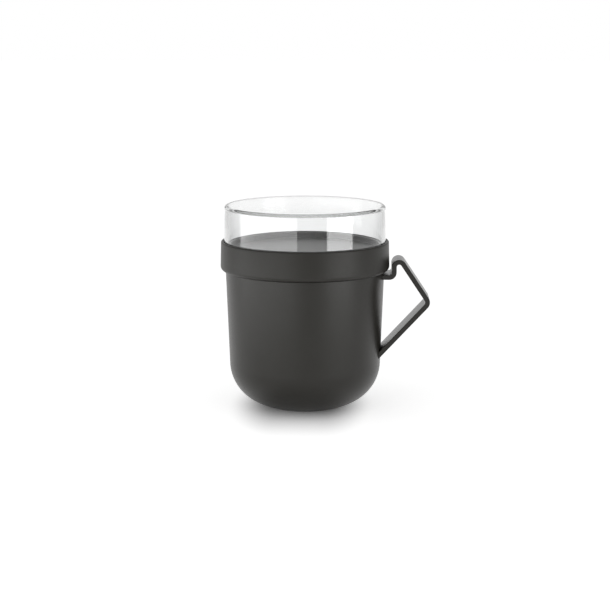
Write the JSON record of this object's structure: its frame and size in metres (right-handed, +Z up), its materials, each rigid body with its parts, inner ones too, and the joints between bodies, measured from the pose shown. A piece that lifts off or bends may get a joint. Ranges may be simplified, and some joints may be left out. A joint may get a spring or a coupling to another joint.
{
  "type": "soup mug",
  "caption": "Tapered dark soup mug with an angular strap handle, a screw collar, a dished inner lid with its seal, and a clear cap",
  "frame": {"origin": "centre of the flat base, on the mug's axis", "axes": "+Z is up along the mug's axis, +X points to the handle, +Y is to the rear as the picture looks"},
  "size_m": [0.1355, 0.1094, 0.1318],
  "materials": {
    "mug_plastic": "satin moulded polypropylene, dark warm grey, fine spark-eroded texture",
    "collar_plastic": "satin moulded polypropylene, dark warm grey, fine spark-eroded texture",
    "lid_plastic": "glossy moulded polypropylene, dark warm grey",
    "seal_silicone": "satin translucent grey silicone",
    "cap_clear": "clear polished plastic"
  },
  "bodies": {
    "mug": {"mug": "mug_plastic"},
    "lid_insert": {"inner_lid": "lid_plastic", "lid_seal": "seal_silicone"},
    "collar": {"screw_collar": "collar_plastic"},
    "cap": {"clear_cap": "cap_clear"}
  },
  "joints": [
    {"name": "lid_lift", "type": "slide", "parent": "mug", "child": "lid_insert", "axis": [0, 0, 1], "range_m": [0, 0.0134]},
    {"name": "collar_turn", "type": "hinge", "parent": "lid_insert", "child": "collar", "pos_m": [0, 0, 0.1], "axis": [0, 0, 1], "range_deg": [0, 300]},
    {"name": "cap_lift", "type": "slide", "parent": "collar", "child": "cap", "axis": [0, 0, 1], "range_m": [0, 0.04]}
  ],
  "couplings": [
    {"joint": "lid_lift", "follows": "collar_turn", "m_per_rad": 0.0025465}
  ]
}
